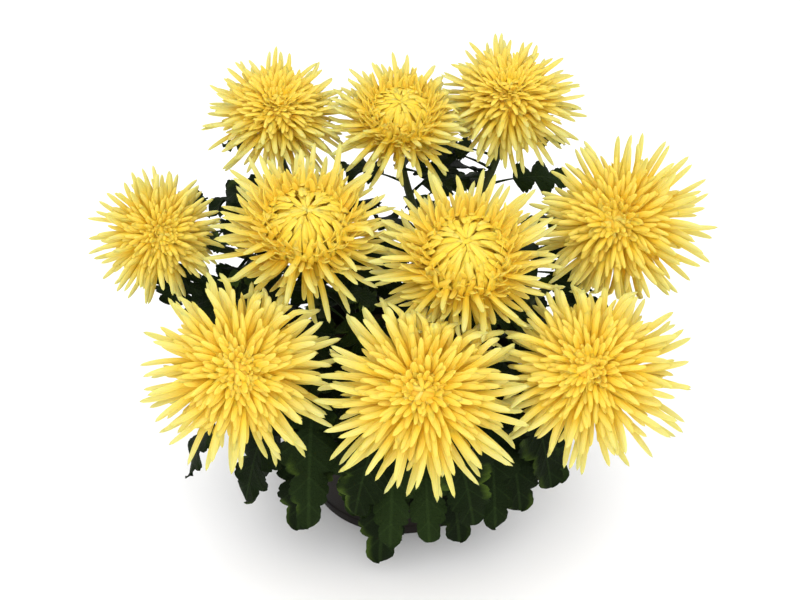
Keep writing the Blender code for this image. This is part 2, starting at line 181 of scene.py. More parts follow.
# One petal or bract: places along it are shares of its length
PETAL_WIDTH = 0.0053
PETAL_THICKNESS = 0.0008
BRACT_THICKNESS = 0.0006
PETAL_RINGS = 9
PETAL_SIDES = 6
PETAL_DROOP = 0.02
FOOT_WIDTH = 0.7
FULL_WIDTH_AT = 0.45
TAPER_AT = 0.64
TAPER_POWER = 2.5
PETAL_SHARPNESS = 0.5
BRACT_SHARPNESS = 0.7
RING_CROWDING = 1.4
TYPICAL_RADIUS = 0.07

# Where two heads meet, each keeps to its own side of a slanted plane
HEAD_NEARNESS = 1.05
HEAD_OVERLAP = 0.65
HEAD_YIELD = 0.8
HEAD_GAP = 0.0006
HEAD_SOFTNESS = 0.012
HEAD_MINGLING = 0.012

# Leaves
LEAF_THICKNESS = 0.0010
BLADE_THICKNESS = 0.0006
STALK_WIDTH = 0.0026
THIN_STALK_RADIUS = 0.0005
RIB_SIDES = 8
RIB_RINGS = 12
RIB_SINK = 0.45
LEAF_KEEL = 0.16
LEAF_ROWS = 64
LEAF_COLUMNS = 6
LEAF_PROPORTION = 0.9
LOBE_SWEEP = 0.16
# Each lobe of a leaf's half: its middle and half length along the blade, and its width
LEAF_LOBES = (
    (0.16, 0.16, 0.42),
    (0.48, 0.18, 0.50),
    (0.74, 0.13, 0.34),
    (0.90, 0.10, 0.21),
)
LOBE_ROUNDNESS = 2.4
LOBE_JOIN = 0.20
LEAF_TEETH = 15
TOOTH_DEPTH = 0.15
TOOTH_SHARPNESS = 0.6
NARROWEST = 0.003
EDGE_SAMPLES = 600
# A blade's waves: how strong, how deep, their pace along it and how far its halves are
# out of step; then how far its edges curl down
WAVINESS = (0.8, 1.6)
WAVE_DEPTH = 0.0022
WAVE_PACE = 17
WAVE_OFFSET = 1.6
CURLS = (0.0, 0.010)

# Each head: its middle, its radius, and the bearing and elevation it faces
HEADS = {
    "back_left": ((-0.086, 0.075, 0.270), 0.055, 15, 68),
    "back_middle": ((0.000, 0.060, 0.274), 0.055, 5, 70),
    "back_right": ((0.077, 0.090, 0.272), 0.057, 0, 68),
    "left": ((-0.164, -0.010, 0.226), 0.049, 22, 32),
    "middle_left": ((-0.062, -0.038, 0.247), 0.069, 8, 68),
    "middle_right": ((0.043, -0.060, 0.238), 0.071, 0, 66),
    "right": ((0.148, -0.012, 0.236), 0.066, -24, 38),
    "front_left": ((-0.102, -0.124, 0.198), 0.070, 0, 36),
    "front_middle": ((0.015, -0.138, 0.192), 0.075, -3, 40),
    "front_right": ((0.122, -0.120, 0.194), 0.070, -14, 44),
}
# From the lowest layer up: a head lies over its neighbours that come earlier
HEAD_LAYERS = (
    "back_left", "back_middle", "back_right", "front_left", "front_right",
    "front_middle", "left", "middle_left", "right", "middle_right",
)

# Each cutting: where it stands in the soil, and the two heads it carries
PLANTS = {
    "front_left": ((-0.044, -0.030), ("front_left", "middle_left")),
    "front_middle": ((0.005, -0.050), ("front_middle", "middle_right")),
    "front_right": ((0.048, -0.026), ("front_right", "right")),
    "back_left": ((-0.034, 0.034), ("back_left", "left")),
    "back_right": ((0.030, 0.042), ("back_middle", "back_right")),
}

# How a leaf arches: the stalk's share of its path, how far out the path bends,
# and how high above the root, or above the pot's rim for one that hangs over it
HANGING_STALK = 0.44
HANGING_OUT = 0.72
HANGING_LIFT = 0.002
RIM_LIFT = 0.038
SKIRT_LIFTS = (0.038, 0.030, 0.052, 0.066)
RULE_STALK = 0.30
RULE_OUT = 0.55
RULE_LIFT = 0.022
LEAF_WIDTH = 0.50

# Leaves that hang over the rim or out to a side, each from a share of a shoot's length
# to its own tip: shoot, share, tip and width in millimetres, roll in degrees
HANGING_LEAVES = (
    ("front_middle", 0.05, (-14, -114, 20), 50, 8),
    ("front_middle", 0.25, (34, -112, 33), 46, -12),
    ("front_middle", 0.40, (50, -124, 64), 46, -25),
    ("front_middle", 0.45, (-30, -126, 76), 48, 16),
    ("front_left", 0.05, (-71, -102, 39), 48, 5),
    ("front_left", 0.30, (-106, -100, 64), 50, -10),
    ("front_left", 0.55, (-145, -92, 80), 46, -16),
    ("front_right", 0.05, (83, -104, 59), 52, -6),
    ("front_right", 0.30, (112, -96, 78), 48, 10),
    ("front_right", 0.50, (136, -90, 80), 46, 4),
    ("left", 0.66, (-170, 4, 162), 46, 10),
    ("left", 0.50, (-138, -34, 146), 46, -12),
    ("middle_left", 0.10, (-118, -22, 50), 50, 6),
    ("left", 0.15, (-108, 56, 44), 50, -8),
    ("back_left", 0.05, (-52, 114, 38), 50, 6),
    ("back_middle", 0.10, (8, 118, 50), 48, 10),
    ("back_right", 0.05, (66, 108, 42), 50, -6),
    ("right", 0.15, (116, 34, 48), 50, 8),
)

# Smaller leaves of the same kind that fill the crown's skirt
SKIRT_LEAVES = (
    ("front_left", 0.18, (-38, -116, 62), 40, -8),
    ("front_middle", 0.12, (-8, -120, 60), 42, 6),
    ("front_middle", 0.18, (20, -122, 46), 40, -10),
    ("front_right", 0.12, (40, -114, 52), 42, 10),
    ("front_left", 0.24, (-86, -112, 56), 42, 14),
    ("middle_left", 0.15, (-100, -70, 48), 42, -8),
    ("front_right", 0.22, (96, -92, 62), 42, -12),
    ("right", 0.12, (104, -60, 56), 42, 8),
    ("right", 0.25, (112, -20, 70), 40, 4),
    ("front_left", 0.10, (-40, -118, 44), 40, 4),
    ("front_middle", 0.10, (-28, -120, 46), 40, -4),
    ("middle_left", 0.60, (-20, -62, 165), 42, 0),
    ("middle_left", 0.68, (-15, -30, 180), 40, 10),
    ("middle_left", 0.55, (-75, -70, 160), 40, -8),
    ("middle_right", 0.55, (-5, -45, 178), 40, -6),
    ("front_middle", 0.60, (-35, -70, 150), 42, 6),
    ("right", 0.62, (112, -22, 184), 42, 6),
    ("middle_right", 0.62, (90, -36, 180), 40, -6),
)

# Leaves placed by rule on every shoot: share of the shoot's length, reach from
# the stem, how far the tip hangs below the root
RULE_LEAVES = (
    (0.22, 0.088, 0.034),
    (0.44, 0.082, 0.018),
    (0.66, 0.072, 0.010),
)
RULE_SHIFT = 0.05
RULE_LENGTHS = (0.92, 1.05)
RULE_ROLL = 18
CROWN_RADIUS = 0.160
GOLDEN_ANGLE = math.radians(137.508)

# Where a leaf would cross something, it swings, drops or shrinks by these, in turn
SWINGS = (0, 16, -16, 34, -34, 52, -52, 74, -74, 100, -100)
SMALL_SWINGS = (0, 8, -8, 17, -17)
DROPS = (0.0, 0.014, -0.012, 0.030)
SIZES = (1.0, 0.86, 0.74)
TIP_MATCH = 0.0003

# Young leaves up each shoot, to just under its head: share of the shoot, reach, drop
YOUNG_LEAVES = (
    (0.30, 0.074, 0.010),
    (0.38, 0.070, 0.008),
    (0.50, 0.068, 0.006),
    (0.58, 0.064, 0.004),
    (0.72, 0.056, 0.000),
    (0.80, 0.050, -0.004),
    (0.88, 0.042, -0.006),
)
YOUNG_LIFT = 0.010
# How much lighter the green of the smaller leaves is, from 0 to 1
YOUNG_SHADES = (0.3, 1)


def display(red, green, blue):
    """Turn a colour as a screen shows it, 0 to 255, into the light it stands for."""
    light = []
    for level in (red, green, blue):
        share = level / 255
        light.append(share / 12.92 if share <= 0.04045 else ((share + 0.055) / 1.055) ** 2.4)
    return (*light, 1)


def smooth_step(value, low, high):
    """Ease from 0 at low to 1 at high."""
    share = min(max((value - low) / (high - low), 0), 1)
    return share * share * (3 - 2 * share)


def mix(low, high, share):
    """Return the value at a share of the way from low to high."""
    return low + (high - low) * share


def vary(draw, most):
    """Return a random value up to the most either way."""
    return draw.uniform(-most, most)


def from_axis(far, turn, height):
    """Return the point at a distance from the Z axis, turned about it from +X, at a height."""
    return Vector((far * math.cos(turn), far * math.sin(turn), height))


def direction(bearing, elevation):
    """Return the unit vector that points along a bearing and an elevation in degrees."""
    rise = math.radians(elevation)
    return from_axis(math.cos(rise), math.radians(bearing - 90), math.sin(rise))


def from_polar(reach, polar, turn):
    """Return the point at a distance and an angle from the head's axis, turned about it."""
    return from_axis(reach * math.sin(polar), turn, reach * math.cos(polar))


def on_curve(first, second, third, share):
    """Return the point at a share of the way along a curve that bends towards its second point."""
    return first.lerp(second, share).lerp(second.lerp(third, share), share)


def tangent_at(points, index):
    """Return the way that a line of points runs at one of them."""
    return (points[min(index + 1, len(points) - 1)] - points[max(index - 1, 0)]).normalized()


def put_in_scene(name, data):
    """Add an object to the scene."""
    item = bpy.data.objects.new(name, data)
    bpy.context.scene.collection.objects.link(item)
    return item


# Materials


class Value:
    """A shader socket; sums, differences and products of it add Math nodes."""

    def __init__(self, finish, socket):
        self.finish = finish
        self.socket = socket

    def maths(self, operation, *values):
        return self.finish.node("ShaderNodeMath", {"operation": operation}, dict(enumerate(values)))

    def __add__(self, other):
        return self.maths("ADD", self, other)

    __radd__ = __add__

    def __sub__(self, other):
        return self.maths("SUBTRACT", self, other)

    def __rsub__(self, other):
        return self.maths("SUBTRACT", other, self)

    def __mul__(self, other):
        return self.maths("MULTIPLY", self, other)

    __rmul__ = __mul__

    def __abs__(self):
        return self.maths("ABSOLUTE", self)

    def wave(self):
        return self.maths("SINE", self)

    def zigzag(self, period):
        """Rise and fall between 0 and half a period."""
        return self.maths("PINGPONG", self, period / 2)

    def eased(self, low, high):
        """Ease from 0 where the value is low to 1 where it is high."""
        settings = {"interpolation_type": "SMOOTHSTEP"}
        return self.finish.node("ShaderNodeMapRange", settings, {0: self, 1: low, 2: high})


class Finish:
    """A material with a Principled shader, and short ways to add nodes to it."""

    def __init__(self, name, constants):
        self.material = bpy.data.materials.new(name)
        self.material.use_nodes = True
        self.tree = self.material.node_tree
        self.shader = self.tree.nodes["Principled BSDF"]
        for socket, value in constants.items():
            self.shader.inputs[socket].default_value = value

    def node(self, kind, settings=None, inputs=None, output=0):
        """Add a node, set it up, give its sockets values or links, and return an output."""
        node = self.tree.nodes.new(kind)
        for key, value in (settings or {}).items():
            setattr(node, key, value)
        for key, value in (inputs or {}).items():
            if isinstance(value, Value):
                self.tree.links.new(value.socket, node.inputs[key])
            else:
                node.inputs[key].default_value = value
        return Value(self, node.outputs[output])

    def feed(self, socket, value):
        """Link a value to one of the shader's sockets."""
        self.tree.links.new(value.socket, self.shader.inputs[socket])

    def blend(self, factor, *colours):
        """Mix two colours, each a value or red, green and blue as a screen shows them."""
        first, second = [item if isinstance(item, Value) else display(*item) for item in colours]
        return self.node("ShaderNodeMix", {"data_type": "RGBA"}, {0: factor, 6: first, 7: second}, 2)

    def place(self):
        """Return the object coordinates."""
        return self.node("ShaderNodeTexCoord", output="Object")

    def marks(self, name):
        """Return the three numbers that each corner of the mesh carries under a name."""
        vector = self.node("ShaderNodeAttribute", {"attribute_name": name}, output="Vector")
        return [self.node("ShaderNodeSeparateXYZ", inputs={0: vector}, output=axis) for axis in "XYZ"]

    def noise(self, scale, detail=2, where=None):
        """Return a noise value about 0.5 with features of 1/scale metres."""
        inputs = {"Vector": where or self.place(), "Scale": scale, "Detail": detail}
        return self.node("ShaderNodeTexNoise", inputs=inputs)

    def relief(self, height, depth):
        """Link a height from 0 to 1 to the shader's normal, as a relief of a depth in metres."""
        inputs = {"Height": height, "Distance": depth, "Strength": 1.0}
        self.feed("Normal", self.node("ShaderNodeBump", inputs=inputs))


def petal_finish():
    """Golden at the root, lemon along the strap and pale green at the tip, finely ribbed; painted light
    brightens the root and the thin edges, where neighbouring petals shade them.
    """
    depth = {"Subsurface Radius": (0.002, 0.0014, 0.0005), "Subsurface Scale": 1.0}
    surface = {"Roughness": 0.5, "Specular IOR Level": 0.3, "Subsurface Weight": 0.5}
    finish = Finish("petal", {**surface, **depth})
    across, _, along = finish.marks("strap")
    ring, tone, _ = finish.marks("mark")
    gold = finish.blend(tone, (231, 186, 42), (233, 196, 54))
    lemon = finish.blend(tone, (213, 189, 68), (213, 195, 84))
    tip = finish.blend(tone, (188, 186, 102), (196, 194, 122))
    body = finish.blend(along.eased(0.2, 0.75) * (0.2 + 0.8 * ring), gold, lemon)
    pale = along.eased(0.45, 0.95) * ring
    tipped = finish.blend(pale, body, tip)
    # Painted light: the root is golden, and brighter than the strap, to make up for the shade that
    # neighbouring petals cast on it
    colour_with_painted_light = finish.blend(along.eased(0.1, 0.6), (252, 208, 56), tipped)
    # Painted light: the thin edges of each petal, which lie in the shaded crevices, turn a brighter
    # yellow as if lit through
    thin = abs(across).eased(0.45, 1.0) * 0.75
    colour_with_painted_light = finish.blend(thin, colour_with_painted_light, finish.blend(pale, (255, 218, 78), (228, 221, 122)))
    ribs = (across * 16).wave() * 0.5 + 0.5
    spot = {0: across * 5 + tone * 40, 1: along * 3, 2: ring * 9}
    streaks = finish.noise(1, 3, finish.node("ShaderNodeCombineXYZ", inputs=spot))
    shade = (0.08 * ribs + 0.18 * streaks.eased(0.45, 0.8)) * (1 - along * 0.4)
    finish.feed("Base Color", finish.blend(shade, colour_with_painted_light, (226, 176, 40)))
    finish.relief(ribs * 0.6 + streaks * 0.4, 0.00012)
    return finish.material


def leaf_finish():
    """Dark green with paler veins, a dull sheen and yellow-green at the ends of the lobes."""
    finish = Finish("leaf", {"Specular IOR Level": 0.06})
    along, across, edge = finish.marks("strap")
    tone, young, _ = finish.marks("mark")
    side = abs(across)
    swept = along - side * 0.9
    lateral = swept.zigzag(0.17)
    vein = 1 - lateral.eased(0.0, 0.014)
    rib = 1 - side.eased(0.004, 0.02)
    inputs = {"Vector": finish.place(), "Scale": 420.0}
    network = finish.node("ShaderNodeTexVoronoi", {"feature": "DISTANCE_TO_EDGE"}, inputs)
    cells = network.eased(0.0, 0.12)
    blotch = finish.noise(55, 3)
    green = finish.blend(blotch.eased(0.35, 0.7), (7, 14, 3), (11, 22, 6))
    green = finish.blend(tone * 0.4, green, (28, 42, 14))
    green = finish.blend(young * 0.3, green, (46, 66, 24))
    patches = finish.noise(38, 1)
    bright = edge.eased(0.5, 1.0) * patches.eased(0.55, 0.66) * tone.eased(0.3, 0.9)
    green = finish.blend(bright * 0.6, green, (80, 102, 36))
    lines = vein * 0.11 + rib * 0.18
    green = finish.blend(lines, green, (58, 78, 38))
    finish.feed("Base Color", green)
    finish.feed("Roughness", 0.55 + 0.25 * blotch)
    finish.relief(cells * 0.45 + lateral.eased(0.0, 0.05) * 0.55 - rib * 0.4, 0.0007)
    return finish.material


def stem_finish():
    """Green and finely speckled, brown where the trunk is woody."""
    finish = Finish("stem", {"Roughness": 0.65, "Specular IOR Level": 0.2})
    woody, tone, _ = finish.marks("mark")
    speckle = finish.noise(900, 3)
    green = finish.blend(speckle.eased(0.35, 0.7), (34, 50, 22), (50, 66, 32))
    green = finish.blend(tone * 0.4, green, (62, 78, 40))
    finish.feed("Base Color", finish.blend(woody, green, (86, 74, 50)))
    finish.relief(speckle, 0.0002)
    return finish.material


def soil_finish():
    """Dark peat with paler fibres."""
    finish = Finish("peat", {"Roughness": 0.95, "Specular IOR Level": 0.15})
    clumps = finish.noise(160, 5)
    fibres = finish.noise(1400, 4)
    brown = finish.blend(clumps.eased(0.35, 0.7), (34, 25, 18), (70, 53, 38))
    finish.feed("Base Color", finish.blend(fibres.eased(0.6, 0.75) * 0.6, brown, (120, 96, 70)))
    finish.relief(clumps * 0.6 + fibres * 0.4, 0.0015)
    return finish.material


def crumb_finish():
    """Bark chips, and white grains among them."""
    finish = Finish("crumb", {"Roughness": 0.9})
    _, tone, _ = finish.marks("mark")
    speckle = finish.noise(900, 3)
    bark = finish.blend(speckle.eased(0.4, 0.7), (52, 36, 24), (104, 78, 52))
    finish.feed("Base Color", finish.blend(tone.eased(0.86, 0.88), bark, (214, 208, 196)))
    finish.relief(speckle, 0.0006)
    return finish.material


def pot_finish():
    """Dark moulded plastic with faint flow marks, a fine grain and scattered dust."""
    finish = Finish("moulded plastic", {"Specular IOR Level": 0.12})
    grain = finish.noise(2600, 2)
    cloud = finish.noise(28, 3)
    brown = finish.blend(cloud.eased(0.3, 0.75), (22, 19, 17), (32, 27, 24))
    scuff = finish.noise(240, 4).eased(0.62, 0.78)
    finish.feed("Base Color", finish.blend(scuff * 0.25, brown, (90, 82, 74)))
    finish.feed("Roughness", 0.40 + 0.22 * cloud + 0.2 * scuff)
    finish.relief(grain, 0.00006)
    return finish.material


def floor_finish():
    """A pale matt backdrop."""
    grey = (0.93, 0.93, 0.93, 1)
    constants = {"Base Color": grey, "Roughness": 0.9, "Specular IOR Level": 0.1}
    return Finish("backdrop", constants).material


# Shapes: in a strap, x is across, y is above and z runs along, to 1


def as_mesh(name, shape):
    """Turn a shape that is being built into a mesh."""
    mesh = bpy.data.meshes.new(name)
    shape.to_mesh(mesh)
    shape.free()
    return mesh


def add_rod(shape, sides, radius, length, middle):
    """Add an upright rod to a shape."""
    place = Matrix.Translation(middle)
    bmesh.ops.create_cone(
        shape, cap_ends=True, segments=sides, radius1=radius, radius2=radius, depth=length, matrix=place
    )


def strap_shape(name, sides, rings, pointed, keen):
    """Make a closed strap, pointed or flat at its far end, with two keen edges or none."""
    shape = bmesh.new()
    add_rod(shape, sides, 1, 1, (0, 0, 0.5))
    uprights = [edge for edge in shape.edges if abs(edge.verts[0].co.z - edge.verts[1].co.z) > 0.5]
    bmesh.ops.subdivide_edges(shape, edges=uprights, cuts=rings - 1, use_grid_fill=True)
    if pointed:
        end = [corner for corner in shape.verts if corner.co.z > 0.999]
        bmesh.ops.pointmerge(shape, verts=end, merge_co=(0, 0, 1))
    for edge in shape.edges:
        on_side = all(abs(corner.co.x) > 0.99 or corner.co.z > 0.999 for corner in edge.verts)
        edge.smooth = not (keen and on_side)
    return as_mesh(name, shape)


def slab_shape(name, rows, columns):
    """Make a closed slab of two layers: x from 0 to 1 along it, y from -1 to 1 across it."""
    shape = bmesh.new()
    grid = Matrix.Translation((0.5, 0, 0)) @ Matrix.Diagonal((1, 2, 1, 1))
    bmesh.ops.create_grid(shape, x_segments=rows, y_segments=columns, size=0.5, matrix=grid)
    upper = bmesh.ops.extrude_face_region(shape, geom=shape.faces[:], use_keep_orig=True)
    for corner in [item for item in upper["geom"] if isinstance(item, bmesh.types.BMVert)]:
        corner.co.z = 1
    bmesh.ops.recalc_face_normals(shape, faces=shape.faces[:])
    for edge in shape.edges:
        edge.smooth = edge.calc_face_angle() < 1
    return as_mesh(name, shape)


class Growth:
    """A mesh that copies of repeated shapes are added to, each corner with its marks."""

    def __init__(self):
        self.shape = bmesh.new()
        self.strap = self.shape.verts.layers.float_vector.new("strap")
        self.mark = self.shape.verts.layers.float_vector.new("mark")

    def add(self, mesh, mark, move):
        """Add a copy, its corners moved by a rule that gives each its place and its strap mark."""
        first = len(self.shape.verts)
        self.shape.from_mesh(mesh)
        self.shape.verts.ensure_lookup_table()
        for corner in self.shape.verts[first:]:
            corner.co, corner[self.strap] = move(corner.co.copy())
            corner[self.mark] = mark

    def finish(self, name, material, node, slot):
        """Turn the mesh into a piece that stands for a node of the part."""
        bmesh.ops.recalc_face_normals(self.shape, faces=self.shape.faces[:])
        for face in self.shape.faces:
            face.smooth = True
        add_piece(name, as_mesh(name, self.shape), material, node, slot)


def add_piece(name, mesh, material, node, slot):
    """Put a mesh in the scene as a piece that stands for a node of the part."""
    mesh.materials.append(material)
    piece = put_in_scene(name, mesh)
    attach(piece, "root")
    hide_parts(node)
    return piece


def turned(profile, sides):
    """Turn a profile of (radius, height) points about Z and close its two end rings."""
    shape = bmesh.new()
    points = [shape.verts.new((radius, 0, height)) for radius, height in profile]
    edges = [shape.edges.new(pair) for pair in zip(points, points[1:])]
    circle = {"cent": (0, 0, 0), "axis": (0, 0, 1), "angle": math.tau}
    bmesh.ops.spin(shape, geom=points + edges, steps=sides, use_merge=True, **circle)
    bmesh.ops.holes_fill(shape, edges=shape.edges[:], sides=sides)
    bmesh.ops.recalc_face_normals(shape, faces=shape.faces[:])
    return shape


# Flower heads


def head_facing(name):
    """Return the way a head faces."""
    return direction(*HEADS[name][2:])


def head_walls(name):
    """Return the planes a head keeps behind: a point on each, its way out, and the way to bend."""
    middle, radius, _, _ = HEADS[name]
    walls = []
    for other, (other_middle, other_radius, _, _) in HEADS.items():
        gap = Vector(other_middle) - Vector(middle)
        if other == name or gap.length > HEAD_NEARNESS * (radius + other_radius):
            continue
        facing = (head_facing(name) + head_facing(other)).normalized()
        lean = math.copysign(HEAD_OVERLAP, HEAD_LAYERS.index(other) - HEAD_LAYERS.index(name))
        normal = (gap.normalized() + lean * facing).normalized()
        bend = (HEAD_YIELD * normal + math.copysign(1, lean) * facing).normalized()
        spot = Vector(middle) + gap * radius / (radius + other_radius)
        walls.append((spot + normal * HEAD_MINGLING, normal, bend))
    return walls


def keep_behind(point, walls):
    """Bend a point back so that it stays behind every wall, with order kept."""
    room = HEAD_SOFTNESS - HEAD_GAP
    for _ in range(3):
        for spot, normal, bend in walls:
            past = (point - spot).dot(normal) + HEAD_SOFTNESS
            if past > 0:
                point = point - bend * (past - room * (1 - math.exp(-past / room))) / bend.dot(normal)
    return point


def head_frame(name):
    """Return the matrix that takes a head of radius 1 on the Z axis to its place."""
    middle, radius, _, _ = HEADS[name]
    turn = head_facing(name).to_track_quat("Z", "Y").to_matrix().to_4x4()
    return Matrix.Translation(middle) @ turn @ Matrix.Scale(radius, 4)


def petal_width(along, sharpness):
    """Return a petal's width at a share of its length, as a share of its greatest width."""
    grown = mix(FOOT_WIDTH, 1, smooth_step(along, 0, FULL_WIDTH_AT))
    past = max(along - TAPER_AT, 0) / (1 - TAPER_AT)
    return grown * max(1 - past**TAPER_POWER, 0) ** sharpness


def ring_share(level):
    """Return how far along a petal a ring lies: the rings crowd towards the tip."""
    return 1 - (1 - level) ** RING_CROWDING


def ring_shares():
    """Return how far along a petal each of its rings lies."""
    return [ring_share(index / PETAL_RINGS) for index in range(PETAL_RINGS + 1)]


def strip_move(points, side, width, thickness, channel, roll, sharpness):
    """Return the rule that lays a repeated strap along a line of points."""
    roll = math.radians(roll)
    frames = []
    for index, point in enumerate(points):
        tangent = tangent_at(points, index)
        up = side.cross(tangent).normalized()
        across = tangent.cross(up) * math.cos(roll) + up * math.sin(roll)
        frames.append((point, across, across.cross(tangent)))

    def move(corner):
        point, across, up = frames[round(corner.z * (len(points) - 1))]
        along = ring_share(corner.z)
        share = petal_width(along, sharpness)
        lift = channel * width * share * corner.x**2 + corner.y * thickness / 2 * math.sqrt(share)
        place = point + across * corner.x * width * share / 2 + up * lift
        return place, Vector((corner.x, corner.y, along))

    return move


def curled_points(place, walls, reach, tip_polar, turn, draw):
    """Return the points along a petal that rises round the core and curls in over the eye."""
    twist = draw.uniform(*CURLED_TWISTS)
    reach *= draw.uniform(*CURLED_REACHES)
    tip_polar = math.radians(tip_polar + vary(draw, CURLED_SPREAD))
    points = []
    for share in ring_shares():
        dip = CURLED_TIP_DIP * smooth_step(share, 0.75, 1)
        swell = mix(CURLED_FOOT_REACH, 1, smooth_step(share, 0, 0.4)) - dip
        polar = mix(math.radians(CURLED_FOOT), tip_polar, share)
        point = place @ from_polar(reach * swell, polar, turn + twist * share**2)
        points.append(keep_behind(point, walls))
    return points


def fringe_share(reach):
    """Return how much a petal belongs to the fringe, from 0 to 1."""
    return smooth_step(reach, FRINGE_REACH, 1)


def standing_points(place, walls, polar, turn, reach, bend, draw):
    """Return the points along a petal that stands out from the core."""
    outer = fringe_share(reach)
    sway = vary(draw, STANDING_SWAY)
    root = from_polar(ROOT_REACH, polar * ROOT_TILT, turn)
    bulge = from_polar(reach * mix(*BULGE_REACHES, outer), polar * bend, turn - 0.3 * sway)
    tilt = math.radians(vary(draw, STANDING_TIP_TILT))
    tip_polar = polar * (1 + BEND_RETURN * (1 - bend)) + tilt
    tip = from_polar(reach, tip_polar, turn + sway)
    droop = Vector((0, 0, -PETAL_DROOP * outer * reach * TYPICAL_RADIUS))
    points = []
    for share in ring_shares():
        point = place @ on_curve(root, bulge, tip, share)
        points.append(keep_behind(point + droop * share**2, walls))
    return points


def way_round(place, turn):
    """Return the way round a head's axis at a turn about it."""
    return place.to_3x3().normalized() @ from_axis(1, turn + math.tau / 4, 0)


def build_bloom(name, petal, material):
    """Make one flower head: petals curl in over the eye, longer ones stand out all round."""
    draw = random.Random("petals " + name)
    place = head_frame(name)
    walls = head_walls(name)
    typical_width = PETAL_WIDTH * math.sqrt(HEADS[name][1] / TYPICAL_RADIUS)
    kind = "ball" if name in BALL_HEADS else "open"
    fullness = FULLNESS if name in FULL_HEADS else 1
    growth = Growth()

    def add_petal(points, turn, roll, width, channel, paleness):
        side = way_round(place, turn)
        width *= typical_width
        move = strip_move(points, side, width, PETAL_THICKNESS, channel, roll, PETAL_SHARPNESS)
        growth.add(petal, (paleness, draw.random(), draw.random()), move)

    for count, reach, tip_polar in CURLED_LAYERS[kind]:
        spin = draw.uniform(0, math.tau)
        for index in range(count):
            turn = spin + math.tau * (index + vary(draw, CURLED_TURN)) / count
            points = curled_points(place, walls, reach, tip_polar, turn, draw)
            roll = vary(draw, CURLED_ROLL)
            width = draw.uniform(*CURLED_WIDTHS)
            paleness = CURLED_PALENESS * draw.random() ** 2
            add_petal(points, turn, roll, width, CURLED_CHANNEL, paleness)
    for number, highest, lowest, shortest, longest, bend in STANDING_PETALS[kind]:
        spin = draw.uniform(0, math.tau)
        count = round(number * fullness)
        for index in range(count):
            share = (index + 0.5) / count
            turn = index * GOLDEN_ANGLE + spin + vary(draw, STANDING_TURN)
            polar = mix(highest, lowest, share) + vary(draw, STANDING_TILT)
            reach = mix(shortest, longest, min(max(share + vary(draw, 0.5), 0), 1))
            points = standing_points(place, walls, math.radians(polar), turn, reach, bend, draw)
            roll = vary(draw, STANDING_ROLL)
            outer = fringe_share(reach)
            width = draw.uniform(*STANDING_WIDTHS) * mix(SHORT_WIDTH, 1, outer)
            add_petal(points, turn, roll, width, STANDING_CHANNEL, mix(STANDING_PALENESS, 1, outer))
    oval = place @ Matrix.Diagonal((CORE_RADIUS, CORE_RADIUS, CORE_HEIGHT, 1))
    core = bmesh.ops.create_icosphere(growth.shape, subdivisions=3, radius=1, matrix=oval)
    for corner in core["verts"]:
        corner[growth.strap] = (0, 0, 0.5)
    growth.finish("bloom_" + name + "_petals", material, "bloom_" + name, "petals")


# Stems and calyces


def shoot_curve(name, place, share):
    """Return the point at a share of the way up a shoot, from its fork to its head's calyx."""
    start = Vector((*place, FORK_HEIGHT))
    end = head_frame(name) @ Vector((0, 0, -SEAT_DEPTH - CALYX_HEIGHT))
    rise = (end - start).length / 3
    first = start + Vector((0, 0, rise))
    second = end - head_facing(name) * rise
    rest = 1 - share
    return (
        start * rest**3
        + first * (3 * share * rest**2)
        + second * (3 * share**2 * rest)
        + end * share**3
    )


def shoot_path(name, place, steps):
    """Return points that are spread up a shoot."""
    return [shoot_curve(name, place, index / steps) for index in range(steps + 1)]


def on_path(points, share):
    """Return the point at a share of the way along a path."""
    place = min(max(share, 0), 0.9999) * (len(points) - 1)
    index = int(place)
    return points[index].lerp(points[index + 1], place - index)


def ridged_move(points, radius_at):
    """Return the rule that wraps a repeated tube round a path, with ridges along it."""

    def move(corner):
        level = round(corner.z * (len(points) - 1))
        tangent = tangent_at(points, level)
        across = tangent.cross(Vector((0, 1, 0))).normalized()
        up = across.cross(tangent)
        turn = math.atan2(corner.y, corner.x)
        ridge = 1 + STEM_RIDGE_SHARE * math.cos(STEM_RIDGES * turn)
        radius = radius_at(corner.z) * ridge * math.hypot(corner.x, corner.y)
        offset = across * math.cos(turn) * radius + up * math.sin(turn) * radius
        return points[level] + offset, corner.copy()

    return move


def build_stems(plant, tube, bract, material):
    """Make a cutting's trunk, its two shoots, and the calyx with its bracts under each head."""
    place, heads = PLANTS[plant]
    draw = random.Random("stems " + plant)
    growth = Growth()
    foot = Vector((*place, SOIL_LEVEL - TRUNK_DEPTH))
    fork = Vector((*place, FORK_HEIGHT + FORK_OVERLAP))
    trunk = [foot.lerp(fork, index / STEM_STEPS) for index in range(STEM_STEPS + 1)]
    growth.add(tube, (1, draw.random(), 0), ridged_move(trunk, lambda along: TRUNK_RADIUS))
    for head in heads:
        points = shoot_path(head, place, STEM_STEPS)
        move = ridged_move(points, lambda along: SHOOT_RADIUS * mix(*SHOOT_TAPER, along))
        growth.add(tube, (0.15, draw.random(), 0), move)
        add_calyx(growth, head, bract, draw)
    growth.finish("plant_" + plant + "_stems", material, "plant_" + plant, "foliage")


